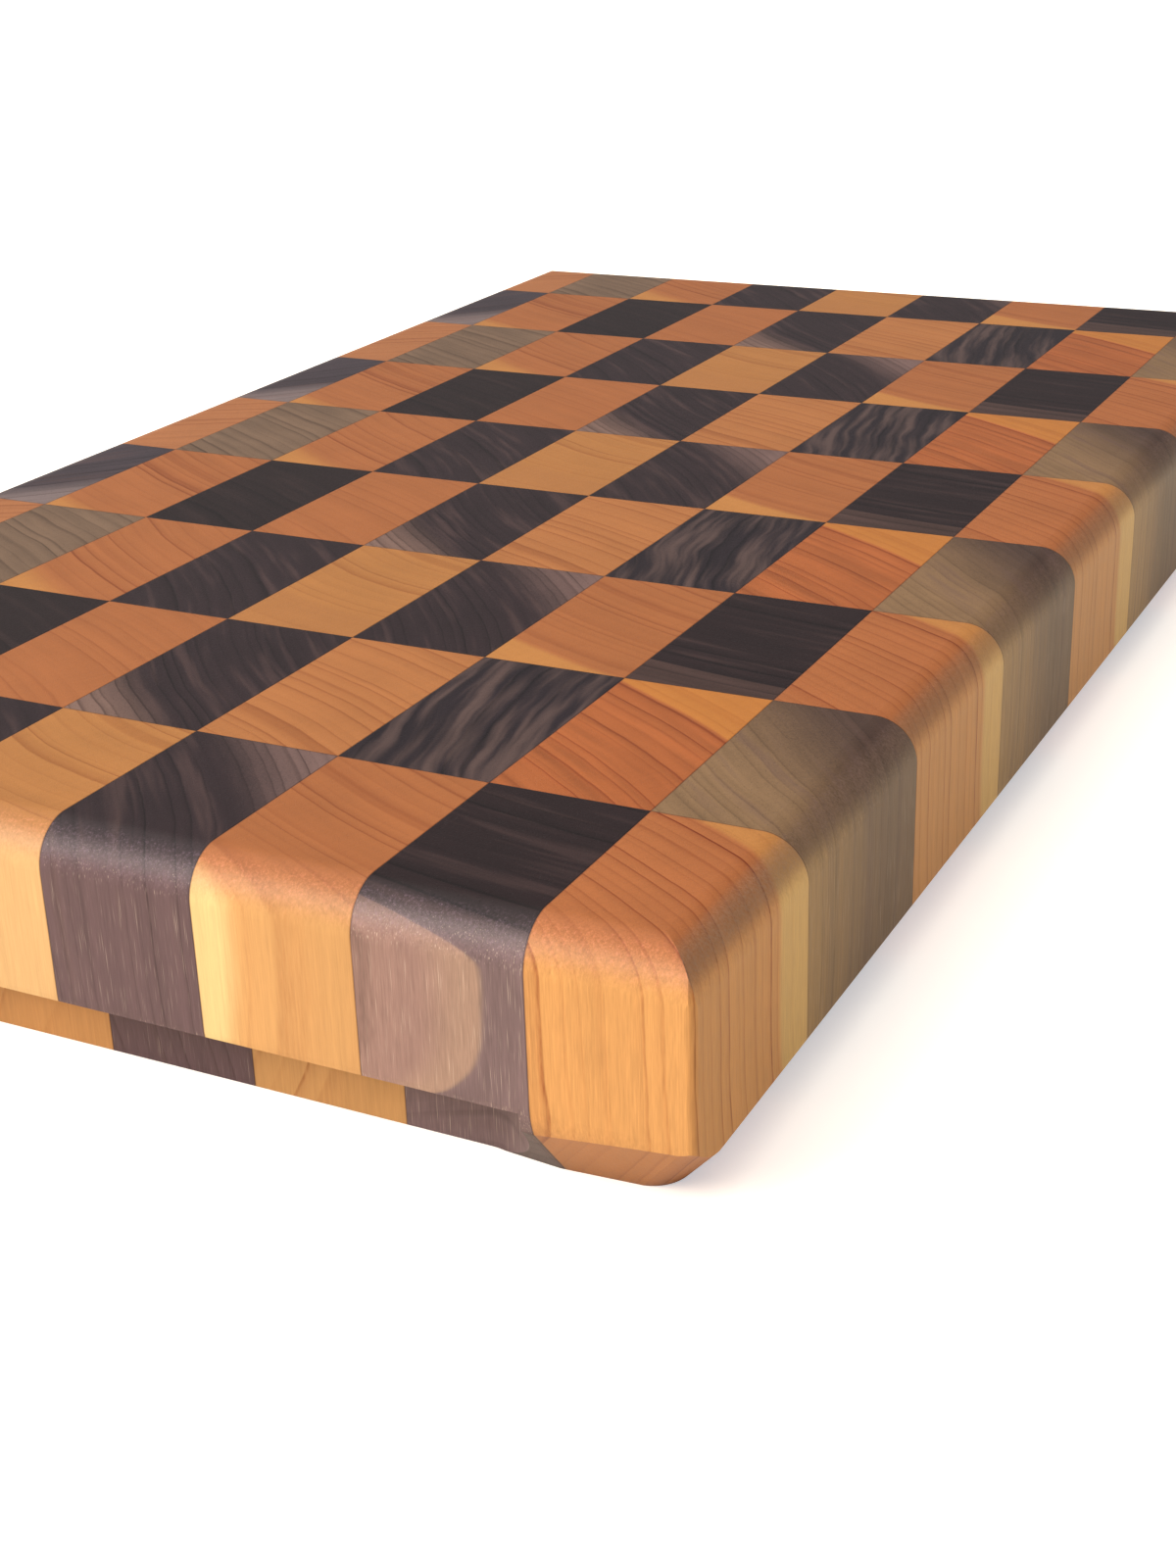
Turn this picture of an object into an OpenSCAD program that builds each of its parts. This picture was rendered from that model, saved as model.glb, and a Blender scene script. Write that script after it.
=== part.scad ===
// End-grain chequered cutting board in cherry and walnut, with a finger grip under each end.
// Millimetres. X runs across the board and Y along it, with the near end at -Y. Z = 0 is the
// underside that it rests on, and the origin is at the middle of that underside.
// Eighty-one blocks stand with their grain upright, nine across and nine along, glued face to face.

/* [Board] */
// Width across the board
board_w = 203; // [160:1:300]
// Length along the board
board_l = 356; // [280:1:500]
// Thickness, which is also the length of every block's grain
board_t = 37.5; // [28:0.5:60]

/* [Trimming] */
// Taken off the right-hand column of blocks when the glued slab was sawn square
trim_right = 1.9; // [0:0.1:6]
// Taken off the left-hand column
trim_left = 4.9; // [0:0.1:6]
// Taken off the near row
trim_near = 6; // [0:0.1:10]
// Taken off the far row
trim_far = 7.9; // [0:0.1:10]

/* [Edges] */
// Radius of the roundover along all four top edges
top_round = 6.3; // [2:0.1:9]
// Radius that eases the four upright corners
corner_ease = 1.2; // [0.5:0.1:4]
// Rise of the bevel under each long side
side_bevel = 9.3; // [3:0.1:12]
// Slope of the side bevel from level, in degrees
side_bevel_angle = 53; // [40:1:60]
// Rise of the bevel under each end, measured at the corners
end_bevel = 12.4; // [6:0.1:16]
// Slope of the end bevel from level, in degrees
end_bevel_angle = 51; // [40:1:60]
// Turn of the end bevel in plan, in degrees, so that it runs out a little towards the grip
end_bevel_swing = 4; // [0:0.5:8]
// Turn the other way where the bevel meets the grip
grip_bevel_swing = 5; // [0:0.5:8]
// Radius that rounds the corner where a side bevel meets an end bevel
bevel_round = 7; // [3:0.5:9]
// Radius that eases each end face into its bevel
end_ease = 12; // [8:0.5:20]

/* [Grips] */
// Depth of each grip, from the end face to its back wall
grip_depth = 9.5; // [6:0.5:14]
// Height of each grip above the underside
grip_height = 12.5; // [8:0.5:18]
// Distance from each long side to where the grip starts
grip_inset = 23; // [15:0.5:50]

/* [Hidden] */
$fn = 96;
cols = 9;
rows = 9;
block_w = (board_w + trim_left + trim_right) / cols;
block_l = (board_l + trim_near + trim_far) / rows;
side_run = side_bevel / tan(side_bevel_angle);
end_run = end_bevel / tan(end_bevel_angle);
ease_top = end_bevel + 1.6;                     // where the easing of an end face starts
ease_low = end_bevel - 4.4;                     // where the bevel has surely taken over from it
over = 5;                                       // how far a cutting shape runs past what it cuts
bite = 0.02;                                    // how far a rounding stops short of tangent

// The slab is sawn from two glue-ups of nine strips: "a" gives the odd rows, "b" the even ones.
CHERRY_A = "#b9683d";
CHERRY_B = "#c07344";
WALNUT_A = "#4a3634";
WALNUT_B = "#553f38";
SAPWOOD = "#8d7159";

function wood(col, row) = (col + row) % 2 == 0 ? "cherry" : "walnut";
function first_row(set) = set == "a" ? 1 : 2;
function group_name(set, col) = str(set, col, "_", wood(col, first_row(set)), "_blocks");
function group_rows(set) = [set == "a" ? 3 : 2 : 2 : rows - 1];
function is_corner(col) = col == 1 || col == cols;
function end_name(row, col) =
    str(row == 1 ? "near_" : "far_", col, "_", wood(col, row), is_corner(col) ? "_corner" : "_grip");

// Two walnut strips hold a good deal of pale sapwood: the second of "a" and the last of "b".
function is_sappy(col, row) = row % 2 == 1 ? col == 2 : col == cols;
function tone(col, row) =
    is_sappy(col, row) ? SAPWOOD
    : wood(col, row) == "cherry" ? (row % 2 == 1 ? CHERRY_A : CHERRY_B)
    : (row % 2 == 1 ? WALNUT_A : WALNUT_B);

// Joint lines: the left side of a column and the near side of a row, with the slab's own
// faces as the first and the last of them.
function joint_x(col) =
    col == 1 ? -board_w / 2
    : col > cols ? board_w / 2
    : -board_w / 2 - trim_left + (col - 1) * block_w;
function joint_y(row) =
    row == 1 ? -board_l / 2
    : row > rows ? board_l / 2
    : -board_l / 2 - trim_near + (row - 1) * block_l;

// A section of the slab, width across and board_t high, with its two top corners rounded.
module section(width) {
    translate([-width / 2, 0]) square([width, board_t - top_round]);
    translate([-width / 2 + top_round, 0]) square([width - 2 * top_round, board_t]);
    for (side = [-1, 1])
        translate([side * (width / 2 - top_round), board_t - top_round]) circle(top_round);
}

// The slab's plan, with its four corners eased.
module plan() {
    inner_w = board_w - 2 * corner_ease;
    inner_l = board_l - 2 * corner_ease;
    square([board_w, inner_l], center = true);
    square([inner_w, board_l], center = true);
    for (x = [-1, 1], y = [-1, 1])
        translate([x * inner_w / 2, y * inner_l / 2]) circle(corner_ease);
}

// What comes off below the right-hand side.
module side_cut() {
    rise = over * tan(side_bevel_angle);
    rotate([90, 0, 0])
        linear_extrude(board_l + 2 * over, center = true)
            polygon([
                [board_w / 2 - side_run - over / tan(side_bevel_angle), -over],
                [board_w / 2 + over, -over],
                [board_w / 2 + over, side_bevel + rise]
            ]);
}

// A stretch of the near end's bevel. Its upper line starts at [start, -board_l / 2, height], where
// it runs past by before, and goes length towards the middle, turned by swing.
module bevel_stretch(start, height, swing, before, length) {
    run = height / tan(end_bevel_angle);
    translate([start, -board_l / 2, 0])
        rotate([0, 0, swing])
            translate([-length, 0, 0])
                rotate([90, 0, 90])
                    linear_extrude(length + before)
                        polygon([
                            [run + over / tan(end_bevel_angle), -over],
                            [-over, -over],
                            [-over, height + over * tan(end_bevel_angle)]
                        ]);
}

// What comes off below the near end at its right-hand corner: one stretch from the corner to the
// grip's straight part, and one that takes off a little more beside the grip.
module end_cut() {
    beside = grip_inset - 0.8;
    height = end_bevel - beside * tan(end_bevel_swing) * tan(end_bevel_angle);
    bevel_stretch(board_w / 2, end_bevel, end_bevel_swing, over, grip_inset + grip_depth);
    bevel_stretch(board_w / 2 - beside, height, -grip_bevel_swing, 0, grip_depth);
}

// The sliver that eases the near end face into its bevel.
module end_ease_cut() {
    rotate([90, 0, 90])
        linear_extrude(board_w + 2 * over, center = true)
            difference() {
                translate([-board_l / 2 - over, ease_low])
                    square([end_ease, ease_top - ease_low]);
                translate([-board_l / 2 + end_ease - bite, ease_top]) circle(end_ease);
            }
}

// What rounds the corner between the right-hand side bevel and the near end bevel: the wedge
// between their two square-on directions, less a round bar that both bevels nearly touch.
module bevel_corner_cut() {
    side = [sin(side_bevel_angle), 0, -cos(side_bevel_angle)];
    end = [
        sin(end_bevel_swing) * sin(end_bevel_angle),
        -cos(end_bevel_swing) * sin(end_bevel_angle),
        -cos(end_bevel_angle)
    ];
    ridge = cross(side, end) / norm(cross(side, end));
    up = cross(ridge, side);
    spread = acos(side * end);
    foot = [board_w / 2 - side_run, -board_l / 2 + end_run - side_run * tan(end_bevel_swing), 0];
    centre = foot - (bevel_round - bite) * (side + end) / (1 + side * end);
    far = 2 * bevel_round;
    multmatrix([
        [side.x, up.x, ridge.x, centre.x],
        [side.y, up.y, ridge.y, centre.y],
        [side.z, up.z, ridge.z, centre.z]
    ])
        linear_extrude(6 * bevel_round, center = true)
            difference() {
                polygon([
                    [0, 0],
                    [far, 0],
                    [far, far * tan(spread / 2)],
                    [far * cos(spread), far * sin(spread)]
                ]);
                circle(bevel_round);
            }
}

// What blends the roundovers and the eased upright edge into each other: the corner of a box,
// less a ball of the roundover's radius.
module top_corner_cut() {
    reach = (top_round - corner_ease) * sqrt(2) + corner_ease;      // to the eased edge, in plan
    inset = top_round - (reach - top_round) / sqrt(2) - bite;
    translate([board_w / 2 - inset, -board_l / 2 + inset, board_t - top_round])
        difference() {
            translate([0, -top_round - over, 0])
                cube([top_round + over, top_round + over, top_round + over]);
            sphere(top_round);
        }
}

// All that comes off at the near right-hand corner.
module corner_cuts() {
    end_cut();
    bevel_corner_cut();
    top_corner_cut();
}

// The finger grip under the near end: a rebate with round ends, open below and in front.
module grip() {
    straight = board_w - 2 * (grip_inset + grip_depth);
    translate([0, -board_l / 2, -over]) {
        translate([-straight / 2, -over, 0]) cube([straight, over + grip_depth, over + grip_height]);
        for (side = [-1, 1])
            translate([side * straight / 2, 0, 0]) cylinder(h = over + grip_height, r = grip_depth);
    }
}

// The whole slab with its edges worked, from which each block at an edge takes its shape.
module slab() {
    difference() {
        intersection() {
            rotate([90, 0, 0]) linear_extrude(board_l + 2 * over, center = true) section(board_w);
            rotate([90, 0, 90]) linear_extrude(board_w + 2 * over, center = true) section(board_l);
            linear_extrude(board_t + over) plan();
        }
        for (turn = [0, 180])
            rotate([0, 0, turn]) {
                side_cut();
                grip();
                end_ease_cut();
                corner_cuts();
                mirror([1, 0, 0]) corner_cuts();
            }
    }
}

// A full block between its four joint lines.
module block(col, row) {
    translate([joint_x(col), joint_y(row), 0])
        cube([joint_x(col + 1) - joint_x(col), joint_y(row + 1) - joint_y(row), board_t]);
}

// A block at an edge: the part of the slab between the joint lines.
module edge_block(col, row) {
    left = joint_x(col) - (col == 1 ? over : 0);
    right = joint_x(col + 1) + (col == cols ? over : 0);
    near = joint_y(row) - (row == 1 ? over : 0);
    far = joint_y(row + 1) + (row == rows ? over : 0);
    intersection() {
        slab();
        translate([left, near, -over]) cube([right - left, far - near, board_t + 2 * over]);
    }
}

// The blocks of one strip between the end rows, one in every second row.
module strip_blocks(set, col) {
    for (row = group_rows(set))
        color(tone(col, row))
            if (is_corner(col)) edge_block(col, row);
            else block(col, row);
}

// One block of an end row, which carries its share of the grip or one of the slab's corners.
module end_block(row, col) {
    color(tone(col, row)) edge_block(col, row);
}

for (set = ["a", "b"], col = [1:cols])
    strip_blocks(set, col);
for (row = [1, rows], col = [1:cols])
    end_block(row, col);
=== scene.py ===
# %% [markdown]
# # An end-grain cutting board
#
# The board is a chequer of cherry and walnut blocks that stand on end, so its work face shows
# growth rings, its sides show straight grain, and one tree's figure comes back in every second
# row. All of its shapes are packed CAD pieces. What is left to make here is the wood itself, the
# light and the camera. The wood could be painted from pictures, but then the rings on top would
# not meet the lines on the sides. Instead it is a solid: a material says what colour the wood has
# at any point inside a strip, and every cut through the strip comes out right.

import math
from types import SimpleNamespace

import bpy
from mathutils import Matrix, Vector


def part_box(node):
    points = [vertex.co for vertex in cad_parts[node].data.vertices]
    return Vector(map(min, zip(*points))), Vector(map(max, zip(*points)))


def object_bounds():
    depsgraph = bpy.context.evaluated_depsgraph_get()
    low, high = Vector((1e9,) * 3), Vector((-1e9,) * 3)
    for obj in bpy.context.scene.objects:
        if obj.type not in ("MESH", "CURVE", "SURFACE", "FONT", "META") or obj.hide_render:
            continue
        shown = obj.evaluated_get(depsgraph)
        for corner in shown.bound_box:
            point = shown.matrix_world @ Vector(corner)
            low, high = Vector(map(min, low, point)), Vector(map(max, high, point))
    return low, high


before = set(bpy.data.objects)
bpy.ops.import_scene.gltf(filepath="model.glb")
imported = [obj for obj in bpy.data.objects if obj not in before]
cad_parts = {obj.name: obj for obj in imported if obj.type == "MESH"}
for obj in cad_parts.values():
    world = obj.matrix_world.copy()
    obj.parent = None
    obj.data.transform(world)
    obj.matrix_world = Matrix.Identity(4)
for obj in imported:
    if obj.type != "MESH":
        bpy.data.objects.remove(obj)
cad_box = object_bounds()
board_low, board_high = cad_box
print("packed nodes:", len(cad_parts))

# %% [markdown]
# ## The grid that the blocks lie on
#
# Two glue-ups of nine strips each were sawn across into sticks, and the sticks were turned up on
# end. Sticks from glue-up "a" make the odd rows and sticks from glue-up "b" the even rows. The
# border blocks were trimmed when the slab was sawn square, so the block size is measured on a
# whole strip in the middle. Lengths in the wood are easier to think about in millimetres.

# %% Measure the grid from a middle strip
MM = 1000.0
MIDDLE = 5                     # the middle column
FIRST_ROW, LAST_ROW = 3, 7     # the rows of glue-up a that are whole blocks
KERF = 3.0                     # mm of wood that the saw turned to dust between two sticks

strip_low, strip_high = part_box("a5_cherry_blocks")
block_w = (strip_high.x - strip_low.x) * MM
block_l = (strip_high.y - strip_low.y) * MM / (LAST_ROW - FIRST_ROW + 1)
near_line = strip_low.y * MM - (FIRST_ROW - 1) * block_l      # where row 1 starts if untrimmed
slab = (board_high.z - board_low.z) * MM
stick = slab + KERF                                           # one stick to the next


def left_line(column):
    """Where a column of blocks starts, in mm."""
    return strip_low.x * MM + (column - MIDDLE) * block_w


print(f"block {block_w:.1f} x {block_l:.1f} mm, slab {slab:.1f} mm")

# %% [markdown]
# ## The camera
#
# It looks down the length of the board from low over the near right corner, close enough for the
# blocks to shrink quickly with distance. The lens and the place belong together: a longer lens
# from further away would show the same board flatter.

# %% Put the camera in place
camera_data = bpy.data.cameras.new("camera")
camera_data.lens = 51.23
camera_data.sensor_width = 36.0
camera_data.clip_start, camera_data.clip_end = 0.01, 100.0
camera = bpy.data.objects.new("camera", camera_data)
camera.location = (0.1903, -0.3752, 0.1541)
camera.rotation_euler = [math.radians(turn) for turn in (66.33, 1.67, 26.40)]
bpy.context.scene.collection.objects.link(camera)
bpy.context.scene.camera = camera
print("camera at", tuple(round(c, 3) for c in camera.location))

# %% [markdown]
# ## Writing node trees as sums
#
# A material in Blender is a web of nodes, which is hard to read back from a script. The class
# below wraps one output socket, so that `1 - mask` or `radius / ring` adds the Math node that it
# stands for. A bench holds the node tree, and one of its methods makes every node: it sets the
# node's settings first and then its inputs, because some settings change which inputs there are.


# %% A wire
class Wire:
    """One output socket. Arithmetic on numbers and wires adds Math nodes."""

    def __init__(self, bench, socket):
        self.bench, self.socket = bench, socket

    def __add__(self, other): return self.bench.maths("ADD", self, other)
    def __radd__(self, other): return self.bench.maths("ADD", other, self)
    def __sub__(self, other): return self.bench.maths("SUBTRACT", self, other)
    def __rsub__(self, other): return self.bench.maths("SUBTRACT", other, self)
    def __mul__(self, other): return self.bench.maths("MULTIPLY", self, other)
    def __rmul__(self, other): return self.bench.maths("MULTIPLY", other, self)
    def __truediv__(self, other): return self.bench.maths("DIVIDE", self, other)
    def __rtruediv__(self, other): return self.bench.maths("DIVIDE", other, self)
    def __pow__(self, other): return self.bench.maths("POWER", self, other)
    def __rpow__(self, other): return self.bench.maths("POWER", other, self)


print("a wire knows", sum(name.startswith("__") for name in vars(Wire)), "special names")


# %% A bench of nodes
class Bench:
    """The node tree of one material, or of the world."""

    def __init__(self, tree):
        self.tree = tree
        tree.nodes.clear()

    def add(self, kind, settings=None, inputs=None, out=0):
        """Adds a node: settings first, then values or wires for its inputs. Gives one output."""
        node = self.tree.nodes.new(kind)
        for name, value in (settings or {}).items():
            setattr(node, name, value)
        for key, value in (inputs or {}).items():
            if isinstance(value, Wire):
                self.tree.links.new(value.socket, node.inputs[key])
            else:
                node.inputs[key].default_value = value
        return Wire(self, node.outputs[out]) if len(node.outputs) else node

    def maths(self, operation, *values):
        """A Math node on numbers and wires."""
        return self.add("ShaderNodeMath", {"operation": operation}, dict(enumerate(values)))

    def point(self, x, y, z):
        """A vector from its three parts."""
        return self.add("ShaderNodeCombineXYZ", None, {"X": x, "Y": y, "Z": z})

    def stretch(self, vector, factors):
        """A vector with each part multiplied by its own factor."""
        return self.add("ShaderNodeVectorMath", {"operation": "MULTIPLY"}, {0: vector, 1: factors})

    def parts(self, vector):
        """The three parts of a vector, each as a wire."""
        node = self.add("ShaderNodeSeparateXYZ", None, {"Vector": vector}).socket.node
        return [Wire(self, node.outputs[axis]) for axis in ("X", "Y", "Z")]


def new_material(name):
    """An empty material and the bench for its nodes."""
    material = bpy.data.materials.new(name)
    material.use_nodes = True
    return material, Bench(material.node_tree)


print("a bench makes nodes in", len([m for m in vars(Bench) if not m.startswith("_")]), "ways")

# %% [markdown]
# Four more helpers turn up in every wood. `rise` is a soft step, which makes a mask out of any
# measure. `cloud` is noise around 0. `blend` lays one colour over another, as paint or dust does,
# and `darken` multiplies them, as a stain does.


# %% Masks, noise and mixed colours
def rise(wire, start, end):
    """0 below start, 1 above end, and an S-curve between them."""
    return wire.bench.add("ShaderNodeMapRange", {"interpolation_type": "SMOOTHSTEP"},
                          {"Value": wire, "From Min": start, "From Max": end})


def cloud(point, scale, detail=2.0, roughness=0.5):
    """Soft noise around 0, from about -0.5 to 0.5."""
    return point.bench.add("ShaderNodeTexNoise", None, {
        "Vector": point, "Scale": scale, "Detail": detail, "Roughness": roughness}) - 0.5


def blend(amount, first, second):
    """A colour between two colours."""
    return amount.bench.add("ShaderNodeMix", {"data_type": "RGBA"},
                            {0: amount, 6: first, 7: second}, out=2)


def darken(amount, colour, stain):
    """The colour as seen through a stain, where amount says how much of it."""
    return amount.bench.add("ShaderNodeMix", {"data_type": "RGBA", "blend_type": "MULTIPLY"},
                            {0: amount, 6: colour, 7: stain}, out=2)


def shade(red, green, blue):
    """A colour as a paint program shows it, 0 to 255, as the linear colour that Blender mixes."""
    channels = [c / 255 for c in (red, green, blue)]
    return (*[c / 12.92 if c <= 0.04045 else ((c + 0.055) / 1.055) ** 2.4 for c in channels], 1.0)


print("middle grey is", round(shade(128, 128, 128)[0], 3), "in linear light")

# %% [markdown]
# ## Where a point lies in its strip
#
# Every block of a strip shares one material, so the material first has to work out which block a
# point is in. Object coordinates are the board's own, because the packed pieces keep their place
# in their mesh. The place in the block and the row follow from the grid. Two rows of one glue-up
# are neighbouring sticks of one strip, so the height in the strip grows by half a stick per row,
# and the figure repeats but drifts a little.


# %% Lay out the strip
def lay_out(bench, column):
    """u across and v along the block, y and z in the board and the height in the strip, in mm."""
    place = bench.add("ShaderNodeTexCoord", None, None, out="Object")
    x, y, z = [part * MM for part in bench.parts(place)]
    row = bench.maths("FLOOR", (y - near_line) / block_l)
    return SimpleNamespace(u=x - left_line(column), v=y - near_line - row * block_l, y=y, z=z,
                           height=z + row * (stick / 2))


print(f"from one stick to the next the figure drifts over {stick:.1f} mm of tree")

# %% [markdown]
# ## Growth rings
#
# A tree is a stack of cones so long that a short piece of it is a bundle of tubes: the growth
# rings. A strip sawn from it sees them as gentle curves round a pith that usually lies well
# outside the strip. So a strip is told which way the bark lay, how far off the pith was and how
# wide its rings are. Real rings are no perfect circles, so slow noise and quick noise bend them,
# and over the height of the slab they sway. The years differ in width and strength. Each year
# darkens slowly and ends in a crisp stroke of late growth.

# %% How far the rings stray
WANDER_SIZE, RIPPLE_SIZE = 0.04, 0.10       # how quickly the two bends change, per mm
SWAY_LENGTH, SWAY_CENTRE = 70.0, 0.66       # mm of height for one sway, and where it is still
SEED_STEP = 37.0                            # moves each strip to its own piece of noise


def stray(bench, strip, place):
    """How far, in mm, noise and sway push the rings at a point."""
    seed = strip["seed"] * SEED_STEP
    slow = cloud(bench.point(place.u + seed, place.v, place.height * 0.15), WANDER_SIZE, 1.0)
    quick = cloud(bench.point(place.u, place.v + seed, place.height * 0.8), RIPPLE_SIZE, 2.0)
    turn = (place.z - slab * SWAY_CENTRE) * (2 * math.pi / SWAY_LENGTH)
    sway = 1 - bench.maths("COSINE", turn)
    return slow * strip["wander"] + quick * strip["ripple"] - sway * sway * strip["sway"]


print(f"rings sway about a point {slab * SWAY_CENTRE:.1f} mm above the table")

# %% [markdown]
# With the distance towards the bark known, the years are counted off by the strip's ring width.
# The whole number is the year and the rest is the season. One random number per year says how
# strong its late growth is, so pale and dark years follow each other without a pattern.

# %% How late in its year the wood grew
SWELL, STROKE = 0.35, 0.65                  # how dark the slow part and the crisp part get
SWELL_START, STROKE_START = 0.15, 0.74      # where in the year they start
YEARS_PER_SWING = 0.55                      # how quickly wide and narrow years take turns
FAINTEST, CONTRAST = 0.15, 1.7              # the weakest year, and how far the years differ


def find_late_growth(bench, strip, beyond):
    """0 in the early wood, up to 1 in the last stroke of a strong year."""
    seed = strip["seed"] * SEED_STEP
    count = (beyond - strip["sap"]) / strip["ring"]
    uneven = bench.add("ShaderNodeTexNoise", {"noise_dimensions": "1D"},
                       {"W": count * YEARS_PER_SWING + seed, "Scale": 1.0, "Detail": 1.0}) - 0.5
    count = count + uneven * strip["uneven"]
    year = bench.maths("FLOOR", count)
    season = count - year
    vigour = bench.add("ShaderNodeTexWhiteNoise", {"noise_dimensions": "1D"}, {"W": year + seed})
    swell = rise(season, SWELL_START, 0.93) * SWELL * (1 - rise(season, 0.94, 1.0))
    stroke = rise(season, STROKE_START, 0.90) * STROKE * (1 - rise(season, 0.92, 1.0))
    return (swell + stroke) * (vigour ** CONTRAST * (1 - FAINTEST) + FAINTEST)


print(f"the last stroke takes {1 - STROKE_START:.2f} of a year's width")


# %% Growth rings
def grow_rings(bench, strip, place):
    """beyond: how far towards the bark a point lies, in mm from the middle of its block.
    late: how late in its year the wood grew. flow: axes round the rings, outwards and up."""
    bark = math.radians(strip["bark"])
    from_u, from_v = place.u - block_w / 2, place.v - block_l / 2
    lean = (place.height - slab / 2) * strip["lean"]
    outwards = from_u * math.cos(bark) + from_v * math.sin(bark) + lean
    around = from_v * math.cos(bark) - from_u * math.sin(bark)
    reach = outwards + strip["pith"]
    bowed = bench.maths("SQRT", reach * reach + around * around) - strip["pith"]
    beyond = bowed + stray(bench, strip, place)
    return SimpleNamespace(beyond=beyond, late=find_late_growth(bench, strip, beyond),
                           flow=bench.point(around, beyond, place.height))


print(f"a block reaches {math.hypot(block_w, block_l) / 2:.1f} mm from its middle to a corner")

# %% [markdown]
# ## End grain, side grain and the rounded edges
#
# Where the fibres are cut across, on the top and the rounded edges, the wood drinks more oil and
# goes darker. Where they lie in the surface, on the sides, it stays paler. The fibres run up, so
# the tilt of the surface tells how much they are cut. On the rounded long edges a grey-brown tint
# is painted shade with a painted grey haze of reflected light. It is strongest at the near end of
# the right side and the far end of the left side.

# %% Which way the surface faces
HAZE_THINS = (30.0, 120.0)     # mm from where the edge starts, where the painted shade and haze get weaker
HAZE_LOSS = 0.35               # and by how much


def read_face(bench, strip, place):
    """Masks that say what kind of surface a point is on."""
    facing = bench.add("ShaderNodeNewGeometry", None, None, out="Normal")
    across, _, up = bench.parts(facing)
    slant = bench.maths("ABSOLUTE", up)
    long_side = rise(bench.maths("ABSOLUTE", across), 0.2, 0.7)
    from_start = place.y * bench.maths("SIGN", across) - board_low.y * MM
    return SimpleNamespace(
        slant=slant, long_side=long_side,
        end_grain=rise(slant, strip["lift"] * (1 - long_side) + 0.08, 0.99),
        rounded=rise(up, 0.10, 0.50) * (1 - rise(up, 0.85, 0.995)),
        # painted shade and a painted grey haze of reflected light, on the rounded long edges
        film=(rise(up, 0.25, 0.65) * (1 - rise(up, 0.90, 0.998)) * long_side
              * (1 - rise(from_start, *HAZE_THINS) * HAZE_LOSS)))


print("the film thins out over", HAZE_THINS[1] - HAZE_THINS[0], "mm")

# %% [markdown]
# ## Pores, fibres and streaks
#
# Cherry and walnut differ in their cells as much as in their colour. Both have vessels, the pores
# that show as dots on the work face and as short dashes on the sides. Walnut's are large enough
# to see; cherry's are so fine that only a soft fleck is left. Noise that is stretched along the
# grain gives the fibres, and the same kind of noise, cut off high, leaves the pale dashes of
# sanded walnut. Pigment also lies in streaks that follow the rings, and rays cross the rings.

# %% The sizes of the figure
# name: how little it changes along the grain, how many per mm across it, detail, roughness
NOISES = {
    "fibres": (0.02, 2.4, 3.0, 0.65),        # bundles of fibres
    "tone": (0.10, 0.07, 1.0, 0.50),         # a slow change of lightness
    "fine": (0.04, 5.0, 2.0, 0.70),          # single fibres
    "broken": (0.10, 2.0, 2.0, 0.70),        # fibres that break up a growth line
    "dashes": (0.02, 8.0, 1.0, 0.50),        # open vessels on the sides
    "dust": (0.60, 2.3, 3.0, 0.85),          # specks, nearly round
}
SHIFTED_ACROSS = ("fibres", "tone")          # these take the seed in u, and the others in v
# name: changes per mm round the rings, outwards and up, and roughness
FLOWS = {
    "streaks": ((0.035, 0.42, 0.015), 0.55),
    "rays": ((3.0, 0.12, 0.10), 0.60),
}
print(f"a bundle of fibres is about {1 / NOISES['fibres'][1]:.1f} mm wide")


# %% The fine figure
def draw_figure(bench, strip, place, flow):
    """Every kind of noise that the colour, the gloss and the bumps are made from."""
    seed = strip["seed"] * SEED_STEP
    seeded_u, seeded_v = (place.u + seed, place.v), (place.u, place.v + seed)
    figure = SimpleNamespace()
    for name, (along, across, detail, roughness) in NOISES.items():
        flat = seeded_u if name in SHIFTED_ACROSS else seeded_v
        noise = cloud(bench.point(*flat, place.height * along), across, detail, roughness)
        setattr(figure, name, noise)
    for name, (factors, roughness) in FLOWS.items():
        setattr(figure, name, cloud(bench.stretch(flow, factors), 1.0, 2.0, roughness))
    figure.dashes = rise(figure.dashes, 0.10, 0.30)
    pore_place = bench.point(*seeded_u, place.height * 0.05)
    pore = bench.add("ShaderNodeTexVoronoi", {"voronoi_dimensions": "3D"},
                     {"Vector": pore_place, "Scale": strip["pore_scale"]}, out="Distance")
    figure.pores = 1 - rise(pore, 0.08, 0.28)
    return figure


print("the figure has", len(NOISES) + len(FLOWS) + 1, "parts")

# %% [markdown]
# ## The colour of the wood
#
# First comes the wood as it grew: heartwood or sapwood, darker on end grain, with its growth
# lines and pale ribbons of pigment. On the sides the fibres break a growth line up into strokes.
# A thin pale rim marks the border of the sapwood where the strip asks for one.


# %% Heartwood, sapwood and growth lines
def grown_colour(strip, face, figure, rings):
    """The colour of the bare wood, and how dark its late growth is."""
    sap_start = strip["sap"]
    sap = rise(rings.beyond + figure.fibres * (strip["fade"] * 0.3), sap_start, sap_start + strip["fade"])
    calm = 1 - sap * strip["sap_calm"]
    late = rings.late * calm * (1 + figure.broken * (2.4 - face.end_grain * 2.4))
    figure.streaks = figure.streaks * calm

    top = blend(sap, strip["end"], strip["sap_end"])
    side = blend(sap, strip["side"], strip["sap_side"])
    colour = blend(face.end_grain, side, top)
    line = strip["side_line"] + face.end_grain * (strip["line"] - strip["side_line"])
    colour = darken(late * line, colour, strip["line_tint"])
    colour = blend(rise(figure.streaks, strip["ribbon_from"], 0.22) * strip["ribbon"], colour,
                   strip["ribbon_tint"])

    rim = rise(rings.beyond, sap_start - 0.05, sap_start + 0.1)
    rim = rim * (1 - rise(rings.beyond, sap_start + 0.3, sap_start + 1.5))
    rim = rim * (1 - rise(face.slant, 0.05, 0.6))
    return blend(rim * strip["rim"], colour, strip["rim_tint"]), late


print("bare wood is ready")
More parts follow.
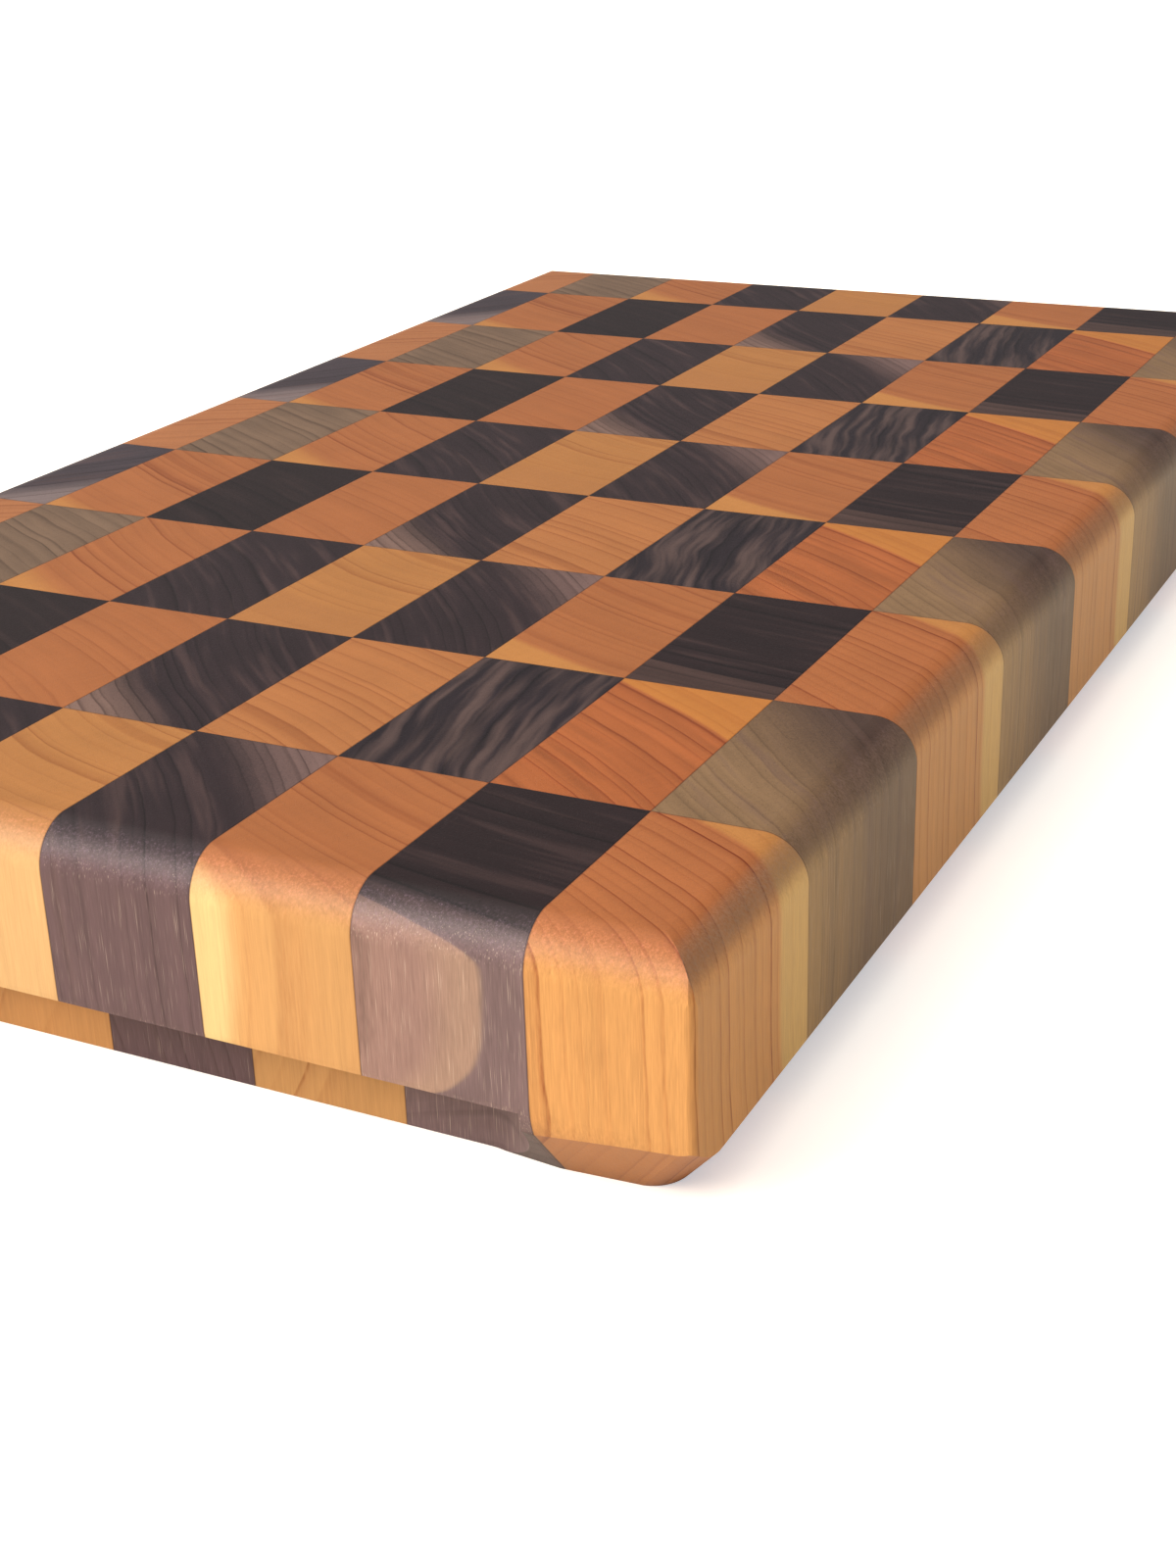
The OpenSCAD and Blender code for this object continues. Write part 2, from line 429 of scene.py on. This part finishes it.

# %% [markdown]
# Then comes what the workshop did to it, and the light that is painted on. A painted shade with a
# painted grey haze of reflected light lies on the rounded long edges, a speckled painted sheen on
# the rounded ends, and pale specks sit in the open end grain. The fibres, pores and rays make the
# colour lighter and darker from place to place, more so on the sides than on the oiled top. Last,
# a hair of dark marks the glue line between two blocks.

# %% Glue lines
GLUE_LINE = (0.05, 0.20)       # mm from the joint, where the dark starts to fade and where it ends


def find_glue(bench, place):
    """1 on a joint between two blocks and 0 inside them."""
    edge_u = bench.maths("MINIMUM", place.u, block_w - place.u)
    edge_v = bench.maths("MINIMUM", place.v, block_l - place.v)
    return 1 - rise(bench.maths("MINIMUM", edge_u, edge_v), *GLUE_LINE)


print("glue lines are", round(2 * GLUE_LINE[1], 2), "mm wide")

# %% Painted shade and sheen, specks and glue on the bare wood
GLUE_STAIN = (0.30, 0.22, 0.18, 1.0)
DASH_TINT = shade(222, 200, 178)


def worked_colour_and_painted_light(bench, strip, face, figure, colour, glue):
    """The colour after sanding and oiling, with painted shade, haze and sheen on the rounded edges."""
    dust, end_grain = figure.dust, face.end_grain
    # painted shade and a painted grey haze of reflected light on the rounded long edges
    colour = blend(face.film * (0.55 + dust * 1.6), colour, strip["film_tint"])
    specks = rise(dust, 0.08, 0.35) * end_grain
    colour = blend(specks * strip["speck"], colour, strip["ribbon_tint"])
    # painted sheen: a speckled pale tint of reflected light on the rounded near and far ends
    powder = face.rounded * (1 - face.long_side) * rise(dust, -0.05, 0.30)
    colour = blend(powder * strip["powder"], colour, strip["powder_tint"])

    spread = 1 + figure.tone * strip["tone"] + figure.streaks * strip["streak"]
    spread = spread + figure.fibres * (0.34 - end_grain * 0.20)
    spread = spread + figure.fine * (strip["grit"] - end_grain * 0.16)
    spread = spread + dust * (face.rounded * 0.7 + end_grain * 0.16)
    spread = spread + figure.rays * (end_grain * 0.14)
    spread = spread - figure.pores * (end_grain * strip["pore_dark"])
    colour = bench.add("ShaderNodeVectorMath", {"operation": "SCALE"}, {0: colour, "Scale": spread})
    colour = blend(figure.dashes * (1 - end_grain) * strip["dash"], colour, DASH_TINT)
    return darken(glue * 0.6, colour, GLUE_STAIN)


print("worked wood is ready")

# %% [markdown]
# The finish is a satin oil. A rubbed oil leaves no thick film, so the shader has a low specular
# level and a middling roughness that follows the fibres. A fine bump opens the pores on the end
# grain and lets the glue lines sink a little.

# %% One strip's material
ROUGHNESS = 0.46
BUMP_STRENGTH, BUMP_DEPTH = 0.35, 0.00012     # the depth is in metres


def make_wood(name, column, strip):
    """A material for every block that was sawn from one strip."""
    material, bench = new_material(name)
    place = lay_out(bench, column)
    rings = grow_rings(bench, strip, place)
    face = read_face(bench, strip, place)
    figure = draw_figure(bench, strip, place, rings.flow)
    glue = find_glue(bench, place)
    bare, late = grown_colour(strip, face, figure, rings)
    colour = worked_colour_and_painted_light(bench, strip, face, figure, bare, glue)

    roughness = ROUGHNESS + figure.fibres * 0.12 + figure.fine * 0.08 + figure.pores * 0.06
    open_pores = figure.pores * (face.end_grain * 0.6)
    bumps = figure.fibres * 0.35 + figure.fine * 0.25 - open_pores - glue * 0.6 - late * 0.12
    bump = bench.add("ShaderNodeBump", None, {
        "Strength": BUMP_STRENGTH, "Distance": BUMP_DEPTH, "Height": bumps})
    finish = bench.add("ShaderNodeBsdfPrincipled", None, {
        "Base Color": colour, "Roughness": roughness, "Normal": bump,
        "IOR": 1.45, "Specular IOR Level": 0.22})
    bench.add("ShaderNodeOutputMaterial", None, {"Surface": finish})
    return material


print("bumps are up to", BUMP_DEPTH * MM, "mm deep")

# %% [markdown]
# ## What cherry and walnut have in common
#
# A strip is described by these words. Lengths are in mm.
#
# - bark: the way out of the tree in degrees, turned from the board's right. 55 puts the bark
#   beyond the far right corner of a block and makes lines that fall to the right.
# - pith, lean: how far off the middle of the tree was, and how the rings lean over the height.
# - ring, uneven: how wide a year is, and how much the years differ.
# - wander, ripple, sway: how far the rings stray slowly, quickly and over the height.
# - sap, fade, sap_calm: how far from the middle of a block towards the bark the sapwood starts,
#   how slowly, and how much of the figure it lacks. NO_SAP puts it outside the block.
# - end, side, sap_end, sap_side: heartwood and sapwood, on end grain and on side grain.
# - line, side_line: how dark the growth lines are on end grain and on side grain.
# - ribbon, ribbon_from: how pale the ribbons along the rings are; below 0 they are broader.
# - streak, tone: softer streaks along the rings, and a slow change of lightness.
# - rim: the pale border of the sapwood on the sides.
# - lift: how far a near or far face has to tilt before it looks like end grain.
# - grit, dash, pore_scale, pore_dark: single fibres, pale dashes and pores.
# - speck, powder, film_tint: pale specks in the end grain, a painted sheen on the
#   rounded ends, and the tint of the painted shade and haze on the rounded long edges.

# %% Cherry and walnut
NO_SAP = 90.0
CHERRY = dict(
    bark=55, pith=150, lean=0.012, ring=2.7, uneven=2.1, wander=1.3, ripple=0.6, sway=0.8,
    sap=NO_SAP, fade=1.5, sap_calm=0.75,
    end=shade(134, 80, 44), side=shade(166, 118, 70),
    sap_end=shade(150, 100, 52), sap_side=shade(188, 156, 98),
    line=0.7, side_line=0.6, line_tint=shade(172, 114, 78),
    ribbon=0.0, ribbon_from=0.0, ribbon_tint=shade(120, 80, 50), streak=0.25, tone=0.16,
    rim=0.0, rim_tint=shade(150, 120, 90), lift=0.02,
    grit=0.32, dash=0.0, pore_scale=2.4, pore_dark=0.06,
    speck=0.0, powder=0.26, powder_tint=shade(184, 112, 94), film_tint=shade(114, 92, 74))
WALNUT = dict(
    bark=55, pith=150, lean=0.012, ring=3.0, uneven=1.0, wander=2.0, ripple=0.8, sway=0.8,
    sap=NO_SAP, fade=6.0, sap_calm=0.0,
    end=shade(36, 25, 27), side=shade(84, 64, 64),
    sap_end=shade(88, 71, 66), sap_side=shade(112, 92, 72),
    line=0.7, side_line=0.4, line_tint=shade(110, 92, 88),
    ribbon=0.40, ribbon_from=0.0, ribbon_tint=shade(66, 49, 46), streak=0.7, tone=0.35,
    rim=0.0, rim_tint=shade(150, 124, 96), lift=0.24,
    grit=0.5, dash=0.20, pore_scale=1.9, pore_dark=0.25,
    speck=0.6, powder=0.42, powder_tint=shade(104, 84, 98), film_tint=shade(92, 76, 70))


def cherry(**own): return {**CHERRY, **own}
def walnut(**own): return {**WALNUT, **own}


print("a strip has", len(CHERRY), "properties, and cherry and walnut differ in",
      sum(CHERRY[key] != WALNUT[key] for key in CHERRY))

# %% [markdown]
# ## The eighteen strips
#
# Each strip gets its own rings, colours and seed. Some are easy to know again: a8 is dark walnut
# with a sapwood oval on the near end, b9 is a grey-brown walnut that is sapwood for the most
# part, b7 has wavy streaks, and a5, a7 and a9 show a golden band of cherry sapwood.

# %% The strips of glue-up a
STRIPS = {
    "a1": cherry(seed=1, bark=120, end=shade(138, 88, 54)),
    "a2": walnut(seed=2, bark=60, sap=-30, ribbon=0, sap_end=shade(96, 76, 60)),
    "a3": cherry(seed=3, bark=235, sap=14, fade=6),
    "a4": walnut(seed=4, bark=45),
    "a5": cherry(seed=5, bark=250, pith=70, sap=8, fade=3, end=shade(142, 94, 50),
                 sap_end=shade(140, 92, 50), sap_side=shade(177, 139, 93)),
    "a6": walnut(seed=6, bark=40, sap=6, fade=14, ring=1.7, sap_end=shade(98, 76, 71),
                 side=shade(82, 62, 64)),
    "a7": cherry(seed=7, bark=245, pith=160, sap=15.0, fade=1.8, wander=0.5, line=0.6,
                 side=shade(168, 124, 76), sap_side=shade(186, 156, 106)),
    "a8": walnut(seed=8, bark=260, pith=200, sap=13.5, fade=0.15, sway=3.0, uneven=0.0, ring=3.2,
                 wander=0.0, ripple=0.15, dash=0.30, rim=0.3, ribbon=0.25, grit=0.75,
                 end=shade(29, 18, 19), side=shade(100, 80, 80),
                 sap_end=shade(56, 40, 36), sap_side=shade(128, 99, 90)),
    "a9": cherry(seed=9, bark=56, sap=14.3, fade=1.2, ring=2.0, uneven=1.4, line=1.0,
                 side_line=0.8, grit=0.6, end=shade(136, 80, 44), side=shade(170, 121, 70),
                 sap_side=shade(178, 144, 88)),
}
print("glue-up a:", ", ".join(STRIPS))

# %% The strips of glue-up b
STRIPS |= {
    "b1": walnut(seed=11, bark=315, sap=8, fade=10, end=shade(54, 46, 50),
                 sap_end=shade(104, 90, 88)),
    "b2": cherry(seed=12, bark=240, sap=17, fade=5),
    "b3": walnut(seed=13, bark=60, streak=0.4, ribbon=0.1, end=shade(28, 18, 18)),
    "b4": cherry(seed=14, bark=60, line=0.35),
    "b5": walnut(seed=15, bark=225, sap=9, fade=11, ring=1.9, sap_end=shade(104, 81, 72)),
    "b6": cherry(seed=16, bark=65, pith=160, line=0.5, end=shade(142, 90, 50)),
    "b7": walnut(seed=17, bark=190, pith=120, wander=5.0, ripple=2.2, ring=2.4, uneven=1.6,
                 streak=0.5, line=0.9, line_tint=shade(120, 104, 110), ribbon=0.8, ribbon_from=-0.12,
                 ribbon_tint=shade(72, 56, 52), end=shade(30, 22, 26)),
    "b8": cherry(seed=18, bark=55, sap=10.2, fade=0.8, line=0.95, streak=0.8,
                 end=shade(134, 74, 38), sap_end=shade(150, 94, 42)),
    "b9": walnut(seed=19, bark=225, sap=-14, fade=26, ring=1.8, line=0.38, side_line=0.45,
                 grit=0.7, film_tint=shade(98, 78, 67), end=shade(60, 44, 37),
                 side=shade(97, 76, 58), sap_end=shade(110, 85, 60), sap_side=shade(142, 112, 72)),
}
print("with glue-up b there are", len(STRIPS), "strips")

# %% [markdown]
# The end rows belong to glue-up a too, but their blocks carry the grips and the corners, so each
# is a node of its own. They get the wood of the strip in their column.


# %% Give every block its strip's wood
def sawn_from(strip_name, node_name):
    """Whether a packed node was sawn from this strip."""
    glue_up, column = strip_name
    end_row = glue_up == "a" and node_name.startswith((f"near_{column}_", f"far_{column}_"))
    return end_row or node_name.startswith(strip_name + "_")


clad = 0
for strip_name, strip in STRIPS.items():
    wood = make_wood(f"wood_{strip_name}", int(strip_name[1]), strip)
    for node_name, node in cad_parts.items():
        if sawn_from(strip_name, node_name):
            node.material_slots[0].material = wood
            clad += 1
print(clad, "of", len(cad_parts), "nodes are wood now")

# %% [markdown]
# ## The table
#
# A large pale disc stands in for the studio table. It is wide enough for its rim to stay out of
# every view. Its own colour is a warm off-white, which bounces a little warmth into the bevels
# and the grip. To the camera alone it glows slightly, so that it shows as clean white paper with
# a soft shadow and not as a grey one.

# %% Lay the floor
FLOOR_RADIUS, FLOOR_CORNERS = 12.0, 96
FLOOR_GAP = 0.0001                       # keeps the underside and the floor from flickering
FLOOR_COLOUR = (0.84, 0.76, 0.63, 1.0)
FLOOR_GLOW = (0.45, 0.455, 0.49, 1.0)
BLACK, WHITE = (0.0, 0.0, 0.0, 1.0), (1.0, 1.0, 1.0, 1.0)

turns = [2 * math.pi * k / FLOOR_CORNERS for k in range(FLOOR_CORNERS)]
floor_mesh = bpy.data.meshes.new("floor")
floor_mesh.from_pydata([(FLOOR_RADIUS * math.cos(turn), FLOOR_RADIUS * math.sin(turn),
                         board_low.z - FLOOR_GAP) for turn in turns],
                       [], [tuple(range(FLOOR_CORNERS))])
floor = bpy.data.objects.new("floor", floor_mesh)
bpy.context.scene.collection.objects.link(floor)

pale_floor, bench = new_material("pale_floor")
seen = bench.add("ShaderNodeLightPath", None, None, out="Is Camera Ray")
paper = bench.add("ShaderNodeBsdfPrincipled", None, {
    "Base Color": FLOOR_COLOUR, "Roughness": 0.9, "Specular IOR Level": 0.1,
    "Emission Color": blend(seen, BLACK, FLOOR_GLOW), "Emission Strength": 1.0})
bench.add("ShaderNodeOutputMaterial", None, {"Surface": paper})
floor_mesh.materials.append(pale_floor)
print("floor is", 2 * FLOOR_RADIUS, "m across")

# %% [markdown]
# ## The lights
#
# The key light is a big soft panel at the near left, so the near end glows. A small warm panel
# at the right keeps the long side out of the dark. A sun lamp with a very wide angle acts as a
# white ceiling: it lights the work face and the whole floor evenly, however far away they are,
# which a panel can't.


# %% Hang the lamps
def hang_lamp(name, kind, energy, colour, **settings):
    """A lamp at the origin that shines down."""
    data = bpy.data.lights.new(name, kind)
    data.energy, data.color = energy, colour
    for setting, value in settings.items():
        setattr(data, setting, value)
    lamp = bpy.data.objects.new(name, data)
    bpy.context.scene.collection.objects.link(lamp)
    return lamp


def aim_at_board(lamp, place):
    """Moves a lamp and turns it towards the middle of the board."""
    lamp.location = place
    lamp.rotation_mode = "QUATERNION"
    lamp.rotation_quaternion = (-Vector(place)).to_track_quat("-Z", "Y")
    lamp.visible_camera = False


key = hang_lamp("key_panel", "AREA", 70, (1.0, 0.965, 0.91), shape="SQUARE", size=1.4)
aim_at_board(key, (-1.05, -1.55, 1.25))
warm = hang_lamp("right_panel", "AREA", 4, (1.0, 0.80, 0.58), shape="SQUARE", size=1.0)
aim_at_board(warm, (1.7, -0.9, 0.8))
ceiling = hang_lamp("ceiling", "SUN", 3.9, (1.0, 0.975, 0.94), angle=math.radians(100))
ceiling.rotation_euler = (math.radians(12), math.radians(-14), 0)
print("lamps:", ", ".join(light.name for light in bpy.data.lights))

# %% [markdown]
# The world is a dim dome that is brighter near the horizon, as the walls of a room are, and fills
# the shadows. The camera sees plain white instead, so the table has no visible end. The view
# transform "Standard" keeps the wood's colours as they were mixed.

# %% The world around the table
HORIZON, ZENITH = (0.46, 0.45, 0.46, 1.0), (0.10, 0.10, 0.10, 1.0)

world = bpy.data.worlds.new("studio")
world.use_nodes = True
bench = Bench(world.node_tree)
above = bench.parts(bench.add("ShaderNodeTexCoord", None, None, out="Generated"))[2]
glow = blend(rise(above, 0.05, 0.45), HORIZON, ZENITH)
seen = bench.add("ShaderNodeLightPath", None, None, out="Is Camera Ray")
dome = bench.add("ShaderNodeBackground", None, {"Color": blend(seen, glow, WHITE), "Strength": 1.0})
bench.add("ShaderNodeOutputWorld", None, {"Surface": dome})
bpy.context.scene.world = world
bpy.context.scene.view_settings.view_transform = "Standard"
print("world nodes:", len(world.node_tree.nodes))

# %% [markdown]
# ## Finish
#
# The materials add no size, so the visual model's box has to be the same as the box of the packed
# board.
